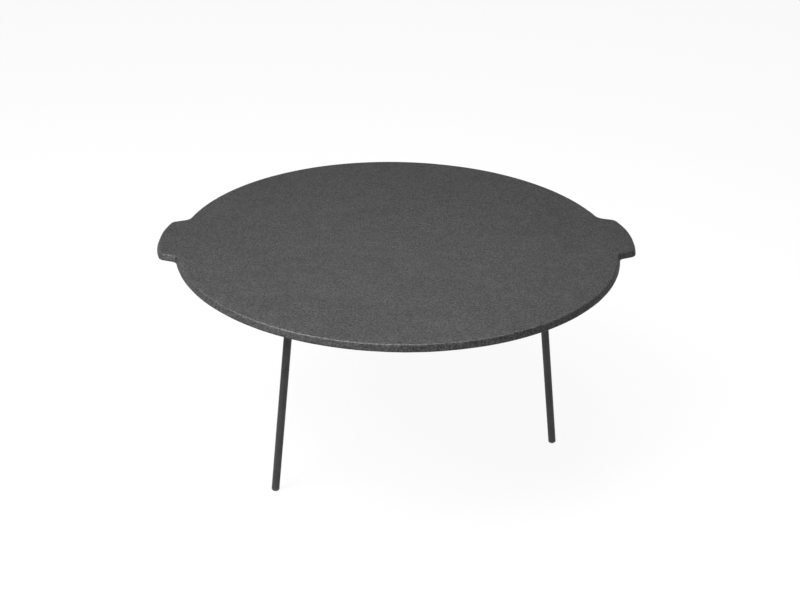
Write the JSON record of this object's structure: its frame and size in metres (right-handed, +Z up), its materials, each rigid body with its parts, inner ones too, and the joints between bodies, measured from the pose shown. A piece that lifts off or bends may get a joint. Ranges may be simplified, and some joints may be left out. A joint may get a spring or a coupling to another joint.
{
  "type": "three-legged griddle plate",
  "caption": "Round flat cast-iron griddle plate with ear handles, standing over a fire on splayed screw-in rod legs.",
  "frame": {"origin": "on the ground, on the vertical axis of the round plate", "axes": "+Z up out of the cooking face, +X along the line of the two ear handles, the legs' first azimuth 104 degrees from +X"},
  "size_m": [0.488, 0.45, 0.2265],
  "materials": {
    "cast_iron": "seasoned sand casting, dark grey, fine grain, dull sheen",
    "leg_steel": "blackened round steel rod, dull"
  },
  "bodies": {
    "griddle": {"griddle_plate": "cast_iron"},
    "leg_front_left": {"leg_front_left": "leg_steel"},
    "leg_front_right": {"leg_front_right": "leg_steel"},
    "leg_rear": {"leg_rear": "leg_steel"}
  },
  "joints": [
    {"name": "leg_rear_unscrew", "type": "slide", "parent": "griddle", "child": "leg_rear", "axis": [-0.0341, 0.1367, -0.99], "range_m": [0, 0.024]},
    {"name": "leg_front_left_unscrew", "type": "slide", "parent": "griddle", "child": "leg_front_left", "axis": [-0.1014, -0.0979, -0.99], "range_m": [0, 0.024]},
    {"name": "leg_front_right_unscrew", "type": "slide", "parent": "griddle", "child": "leg_front_right", "axis": [0.1354, -0.0388, -0.99], "range_m": [0, 0.024]}
  ]
}
